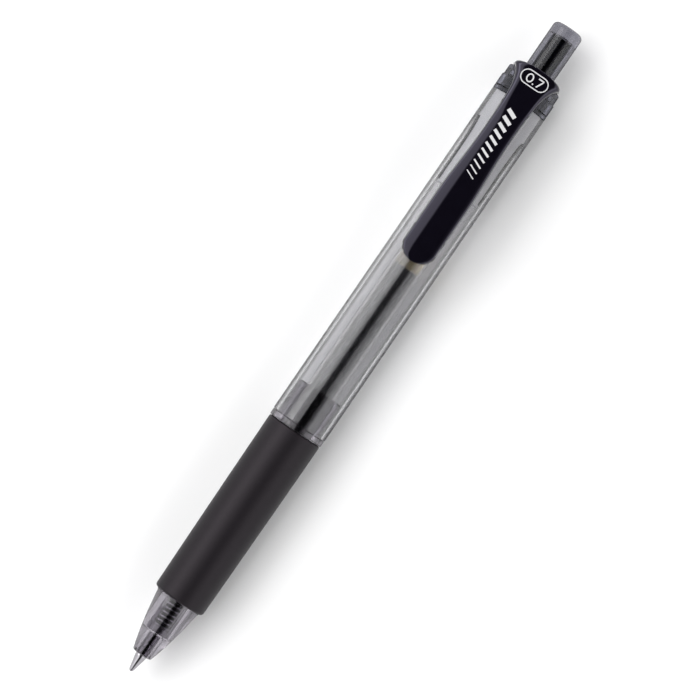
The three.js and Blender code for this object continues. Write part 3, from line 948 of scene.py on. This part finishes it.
def retainer():
    """The ring in the cap that keeps the button's flange from coming out."""
    joint = CAP_START - 0.1
    outside = 4.8
    profile = rounded([
        (joint, SLEEVE_BORE, 0.1),
        (joint, outside, 0.12),
        (HEAD_END - 5.9, outside, 0.08),
        (HEAD_END - 5.8, outside - 0.4, 0.05),
        (HEAD_END - 5.3, outside - 0.4, 0.05),
        (HEAD_END - 5.2, outside, 0.08),
        (HEAD_END - 4.4, outside, 0.2),
        (HEAD_END - 3.4, outside - 0.4, 0.1),
        (HEAD_END - 3.4, COLLAR_BORE, 0.1),
        (HEAD_END - 5.1, COLLAR_BORE, 0.1),
        (HEAD_END - 5.1, SLEEVE_BORE),
    ])
    make("retainer_piece", turned(profile), "rear", RETAINER, ["retainer"])


# ------------------------------------------------------------------------------------------------
# Clip

# "back" from the head's rear end: where its rear curve ends, and where the arm is narrowest
HEAD_ARC = 1.3
WAIST = 13.5

HEAD_HALF_WIDTH = 5.05
HEAD_ROUND = 2.4  # 2 would make the rear curve elliptic, more squares it
WAIST_HALF_WIDTH = 2.83
CLIP_DRAFT = 0.2
CORNER = 0.24


def smoothstep(value, low, high):
    t = min(max((value - low) / (high - low), 0), 1)
    return t * t * (3 - 2 * t)


def clip_half_width(back):
    """A waist, a wider far end with a round tip, a flare to the head and the head's rear arc."""
    if back < HEAD_ARC:
        return HEAD_HALF_WIDTH * (1 - (1 - back / HEAD_ARC) ** HEAD_ROUND) ** (1 / HEAD_ROUND)
    past_waist = min(max((back - WAIST) / 16, 0), 1)
    wide = 0.6 * (1 - math.cos(math.pi * past_waist)) / 2
    near = 0.0042 * (back - WAIST) ** 2 if back < WAIST else 0
    flare = 1.595 * math.exp(-(back - HEAD_ARC) / 1.85)
    end = CLIP_LENGTH - back
    tip = math.sqrt(max(0, 1 - ((3 - end) / 3) ** 2)) if end < 3 else 1
    return (WAIST_HALF_WIDTH + wide + near + flare) * tip


def clip_crest(half):
    """Half the width of the clip's top: its sides lean in a little."""
    return max(half - CLIP_DRAFT, 0.8 * half)


def clip_top(back, y, half=None):
    """Height of the clip's crowned top, before its edges are rounded."""
    half = half or clip_half_width(back)
    crest = clip_crest(half)
    flat = min(1, crest / 2)
    rise = smoothstep(back, 1, 9)
    top = 7.5 + 0.7 * rise - 0.8 * smoothstep(back, 32, 42)
    drop = (1.15 - 0.7 * rise) * half / 4.8
    beyond = max(0, abs(y) - flat) / max(crest - flat, 0.01)
    return top - drop * beyond ** (7 - 5 * smoothstep(back, 5, 12))


def rear_edge(y):
    """How far back the head's rear curve lies, off the pen's middle."""
    share = min(abs(y) / HEAD_HALF_WIDTH, 1)
    return HEAD_ARC * (1 - (1 - share**HEAD_ROUND) ** (1 / HEAD_ROUND))


def quarter_round(distance, bend):
    """How far a rounded edge has dropped at a distance in from the edge."""
    if distance >= bend:
        return 0
    return bend - math.sqrt(max(0, bend**2 - (bend - distance) ** 2))


def clip_section(back, underside):
    """A ring across the clip, rounded at its edges and at the head's rear rim."""
    half = clip_half_width(back)
    crest = clip_crest(half)
    edge = min(CORNER, half * 0.6)
    steps = 36
    across = [math.sin(math.pi * (i / steps - 0.5)) for i in range(steps + 1)]
    upper, lower = [], []
    for share in across:
        y, low_y = share * crest, share * half
        inset = crest - abs(y)
        rim = back - rear_edge(y) if back < 3 else 3
        rounding = max(quarter_round(inset, edge), quarter_round(max(rim, 0), CORNER))
        upper.append((y, clip_top(back, y, half) - rounding))
        lower.append((low_y, underside(low_y) + quarter_round(half - abs(low_y), 0.6 * edge)))
    ring = upper + lower[::-1][1:-1]
    return [(HEAD_END - back, y, z) for y, z in ring]


def head_underside(back):
    """Down to the collar behind the cap, then hugging the cap and the barrel, then the arm's flat."""
    if back < HEAD_ARC:
        return lambda y: 4.6 * math.sqrt(max(0.0005, 1 - (y / 5.3) ** 2))
    hug = 1 - smoothstep(back, 6.9, 8.8)
    cap = BARREL_RADIUS + 0.12
    pad = max(0, 1 - ((back - 38) / 3) ** 2)
    flat = 6.9 - 1.05 * pad - 0.2 * smoothstep(back, 32, 42)
    return lambda y: hug * math.sqrt(cap**2 - min(y * y, cap**2)) + (1 - hug) * flat


def clip():
    """Head, arm and collar in one moulding. Its sections lie closer where the shape turns."""
    rear = [0.004 * 1.35**i for i in range(20)]
    rim = [back for back in rear if back < 1.25] + [HEAD_ARC - 0.01, HEAD_ARC + 0.01]
    flare = [1.42 + 0.18 * i for i in range(41)]
    arm = [9 + 0.6 * i for i in range(46)]
    tip = [36.5 + 0.25 * i for i in range(18)]
    end = [CLIP_LENGTH - 0.9 * 0.72**i for i in range(14)]
    stations = sorted(rim + flare + arm + [b for b in tip if b < CLIP_LENGTH - 0.95] + end)
    band = lofted([clip_section(back, head_underside(back)) for back in stations])
    collar = turned(rounded([
        (HEAD_END - 2.2, COLLAR_BORE, 0.1),
        (HEAD_END - 2.2, 4.88, 0.1),
        (HEAD_END - 1.5, 4.88, 0.12),
        (HEAD_END - 0.61, COLLAR_BORE, 0.15),
    ]))
    piece = joined("clip_piece", [band, collar])
    finished(piece, None, BLACK, ["clip_head", "clip_arm"], sharp=40)
    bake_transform(piece)


# ------------------------------------------------------------------------------------------------
# Print on the clip: a size number in a rounded frame, and graded pen strokes


def stroke(points, width, closed=False):
    """A printed line on the clip's top through (back, y) points, as a thin closed body."""
    path = [Vector(p) for p in points]
    count = len(path)
    rows = []
    for i, point in enumerate(path):
        before = path[i - 1] if closed or i > 0 else point
        after = path[(i + 1) % count] if closed or i + 1 < count else point
        ahead = (after - before).normalized()
        side = Vector((-ahead.y, ahead.x)) * width / 2
        rows.append((point - side, point + side))
    verts = []
    for low, high in rows:
        for p, lift in ((low, 0.004), (low, 0.03), (high, 0.03), (high, 0.004)):
            verts.append((HEAD_END - p.x, p.y, clip_top(p.x, p.y) + lift))
    faces = []
    spans = count if closed else count - 1
    for i in range(spans):
        a, b = 4 * i, 4 * ((i + 1) % count)
        faces += [(a + k, a + (k + 1) % 4, b + (k + 1) % 4, b + k) for k in range(4)]
    if not closed:
        faces += [(0, 3, 2, 1), (4 * count - 4, 4 * count - 3, 4 * count - 2, 4 * count - 1)]
    return verts, faces


def oval(back, y, tall, wide, steps=48):
    """Points round an oval, tall along the pen and wide across it."""
    angles = [2 * math.pi * i / steps for i in range(steps)]
    return [(back + tall / 2 * math.cos(a), y + wide / 2 * math.sin(a)) for a in angles]


def along(points, steps=10):
    """A line's points with more between them, so that it follows the crowned surface."""
    fine = []
    for a, b in zip(points, points[1:]):
        a, b = Vector(a), Vector(b)
        fine += [tuple(a.lerp(b, k / steps)) for k in range(steps)]
    return fine + [points[-1]]


def pill_points(back, tall, wide, steps=24, straight_steps=12):
    """A rounded frame: two straight sides across the clip joined by half circles."""
    bend = tall / 2
    reach = wide / 2 - bend
    points = []
    for sign in (1, -1):
        for i in range(steps + 1):
            angle = math.pi * i / steps
            ahead, aside = bend * math.cos(angle), bend * math.sin(angle)
            points.append((back + sign * ahead, sign * (reach + aside)))
        for i in range(1, straight_steps):
            points.append((back - sign * bend, sign * (reach - 2 * reach * i / straight_steps)))
    return points


def size_print():
    """0.7, the writing width: its digits stand up towards the button and read across the clip."""
    middle, tall = 2.27, 1.5
    frame_line = stroke(pill_points(middle, 2.68, 5.5), 0.2, closed=True)
    zero = stroke(oval(middle, 0.94, tall, 1.16), 0.25, closed=True)
    point = stroke([(middle + tall / 2 + 0.12, -0.06), (middle + tall / 2 - 0.14, -0.06)], 0.26)
    seven = stroke(along([
        (middle - tall / 2, -0.52),
        (middle - tall / 2, -1.62),
        (middle - tall / 2 + 0.28, -1.55),
        (middle + tall / 2 + 0.12, -0.86),
    ]), 0.25)
    shapes = merged([frame_line, zero, point, seven])
    make("size_print_piece", shapes, "rear", PRINT, sharp=60)


def stroke_print():
    """Slanted strokes from broad to fine along the arm."""
    shapes = []
    back, width = 9.6, 0.78
    while width > 0.16:
        line = along([(back + 0.42, -0.92), (back - 0.42, 0.98)], 12)
        shapes.append(stroke(line, width))
        back += 0.95 + 0.75 * width
        width -= 0.058
    piece = make("stroke_print_piece", merged(shapes), None, PRINT, sharp=60)
    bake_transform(piece)


# ------------------------------------------------------------------------------------------------
# Click mechanism


def crown(root, tip):
    """Six teeth round the axis, from their root to their tip."""
    hidden = root + (root - tip) * 0.4
    tooth = [(-27, root), (-27, hidden), (27, hidden), (27, root), (0, tip)]
    return [wrapped(tooth, 2.1, 2.85, 90 + 60 * i) for i in range(6)]


def button_shell():
    """The smoky shell, with a blind bore for the plunger and a flange that the retainer stops."""
    bore = INSERT_RADIUS + 0.08
    profile = rounded([
        (BUTTON_END - 1.95, 0),
        (BUTTON_END - 2.1, 1.2, 0.5),
        (BUTTON_END - 2.4, bore, 0.15),
        (FLANGE_START, bore, 0.1),
        (FLANGE_START, FLANGE_RADIUS, 0.15),
        (FLANGE_END, FLANGE_RADIUS, 0.15),
        (FLANGE_END + 0.2, BUTTON_RADIUS, 0.2),
        *arc(BUTTON_END - 0.9, BUTTON_RADIUS - 0.9, 0.9, 90, 0, 14),
        (BUTTON_END, 0),
    ])
    make("button_piece", turned(profile), "button", SMOKE_BUTTON, ["button_shell"])


def plunger():
    """The rod inside the button, with its crown of teeth, its guide fins and a bore for the pin."""
    root = CROWN_TIP + CROWN_DEPTH
    body = turned(rounded([
        (PIN_BORE_END, 0),
        (PIN_BORE_END, PIN_RADIUS + 0.15),
        (root, PIN_RADIUS + 0.15),
        (root, 2.9, 0.1),
        (SHOULDER, 2.9, 0.1),
        (SHOULDER, INSERT_RADIUS),
        (BUTTON_END - 2.55, INSERT_RADIUS, 0.12),
        (BUTTON_END - 2.3, 1.2, 0.4),
        (BUTTON_END - 2.1, 0),
    ]))
    fin = [(-12, FIN_START), (12, FIN_START), (12, FIN_END), (-12, FIN_END)]
    fins = [wrapped(fin, 2.7, 3.8, 30 + 120 * i) for i in range(3)]
    piece = joined("plunger_piece", [body, *crown(root, CROWN_TIP), *fins])
    finished(piece, "button", SLATE, ["plunger"])


def cam_rotor():
    """The turning piece behind the refill, with its teeth, its ribs and its centring pin."""
    rear = CROWN_TIP - 0.2
    root = rear - CROWN_DEPTH
    start = REFILL_END + 0.15
    body = turned(rounded([
        (ROTOR_BORE_END, 0),
        (ROTOR_BORE_END, 1.3),
        (start, 1.3, 0.1),
        (start, 2.7, 0.15),
        (root, 2.9),
        (root, PIN_RADIUS),
        (PIN_END - 0.3, PIN_RADIUS, 0.1),
        (PIN_END, 1.2, 0.1),
        (PIN_END, 0),
    ]))
    half = 9

    def back(angle):
        return CAM_RIB + angle / CLICK_TURN_PER_MM

    rib = [
        (-half, CAM_RIB_START),
        (half, CAM_RIB_START),
        (half, back(half)),
        (-half, back(-half)),
    ]
    ribs = [wrapped(rib, 2.5, 3.85, 90 + 120 * i) for i in range(3)]
    piece = joined("rotor_piece", [body, *crown(root, rear), *ribs])
    finished(piece, "rotor", MILKY, ["cam_rotor"])


# ------------------------------------------------------------------------------------------------
# Stage: floor, light and camera


SKY_STRENGTH = 2.0
FLOOR_HALF_SIDE = 3.0
FLOOR_DROP = 0.00003
LIGHT_AIM = Vector((0, 0, 0.006))
AXIS_TURN = 55.6
SHOWN_WIDTH = 0.1285


def floor():
    look = Look("pale_floor")
    look.colour(look.noise(0.02), (0.93, 0.93, 0.93), (0.90, 0.90, 0.90))
    look.set(Roughness=0.8, Specular_IOR_Level=0.2)
    mesh = bpy.data.meshes.new("floor")
    side = FLOOR_HALF_SIDE
    corners = [(-side, -side, 0), (side, -side, 0), (side, side, 0), (-side, side, 0)]
    mesh.from_pydata(corners, [], [(0, 1, 2, 3)])
    mesh.materials.append(look.material)
    piece = bpy.data.objects.new("floor", mesh)
    bpy.context.scene.collection.objects.link(piece)
    piece.location.z = -FLOOR_DROP


def studio_sky():
    """A white studio with a dark strip overhead along the pen, brightest on the pen's left."""
    world = bpy.data.worlds.new("studio")
    world.use_nodes = True
    tree = world.node_tree
    tree.nodes.clear()
    coordinates = tree.nodes.new("ShaderNodeTexCoord")
    split = tree.nodes.new("ShaderNodeSeparateXYZ")
    tree.links.new(coordinates.outputs["Generated"], split.inputs[0])
    across = tree.nodes.new("ShaderNodeMapRange")
    across.inputs["From Min"].default_value = -1
    across.inputs["From Max"].default_value = 1
    tree.links.new(split.outputs["Y"], across.inputs["Value"])
    ramp = tree.nodes.new("ShaderNodeValToRGB")
    ramp.color_ramp.interpolation = "EASE"
    # Across the sky, from the pen's right (-1) to its left (1): where, and how bright
    stops = [
        (-0.66, 0.62),
        (-0.47, 0.13),
        (-0.35, 0.01),
        (0.06, 0.01),
        (0.17, 0.85),
        (0.55, 1.00),
        (0.95, 0.70),
    ]
    set_stops(ramp.color_ramp, [((across_at + 1) / 2, level) for across_at, level in stops])
    tree.links.new(across.outputs[0], ramp.inputs[0])
    overhead = tree.nodes.new("ShaderNodeMapRange")
    overhead.interpolation_type = "SMOOTHSTEP"
    overhead.inputs["From Min"].default_value = 0.30
    overhead.inputs["From Max"].default_value = 0.62
    tree.links.new(split.outputs["Z"], overhead.inputs["Value"])
    mix = tree.nodes.new("ShaderNodeMix")
    mix.data_type = "RGBA"
    mix.inputs["A"].default_value = (0.66, 0.66, 0.67, 1)
    tree.links.new(ramp.outputs[0], mix.inputs["B"])
    tree.links.new(overhead.outputs[0], mix.inputs["Factor"])
    background = tree.nodes.new("ShaderNodeBackground")
    background.inputs["Strength"].default_value = SKY_STRENGTH
    tree.links.new(mix.outputs["Result"], background.inputs[0])
    output = tree.nodes.new("ShaderNodeOutputWorld")
    tree.links.new(background.outputs[0], output.inputs[0])
    bpy.context.scene.world = world


def soft_box(name, location, size, power):
    light = bpy.data.lights.new(name, "AREA")
    light.shape = "RECTANGLE"
    light.size, light.size_y = size
    light.energy = power
    lamp = bpy.data.objects.new(name, light)
    bpy.context.scene.collection.objects.link(lamp)
    lamp.location = location
    lamp.rotation_euler = (LIGHT_AIM - Vector(location)).to_track_quat("-Z", "Y").to_euler()


def camera():
    """Straight down on the clip, the pen's axis rising to the right as the button end does."""
    data = bpy.data.cameras.new("camera")
    data.lens = 200
    data.sensor_width = 36
    view = bpy.data.objects.new("camera", data)
    bpy.context.scene.collection.objects.link(view)
    low, high = cad_box
    middle = (low + high) / 2
    distance = SHOWN_WIDTH * data.lens / data.sensor_width
    view.location = (middle.x, middle.y, middle.z + distance)
    view.rotation_euler = (0, 0, -math.radians(AXIS_TURN))
    data.clip_start = 0.01
    data.clip_end = 20
    bpy.context.scene.camera = view


def stage():
    floor()
    studio_sky()
    soft_box("left_box", (0.0, 0.42, 0.40), (0.55, 0.30), 1.3)
    soft_box("right_box", (0.0, -0.46, 0.34), (0.55, 0.30), 0.5)
    camera()
    scene = bpy.context.scene
    scene.view_settings.view_transform = "Standard"
    scene.cycles.max_bounces = 24
    scene.cycles.transmission_bounces = 24
    scene.cycles.transparent_max_bounces = 32
    scene.cycles.glossy_bounces = 8


writing_ball()
tip_point()
ball_spring()
tip_holder()
check_ball()
ink_and_tube()
return_spring()
front_barrel()
rubber_grip()
rear_barrel()
rear_cap()
cam_sleeve()
retainer()
clip()
size_print()
stroke_print()
button_shell()
plunger()
cam_rotor()
stage()
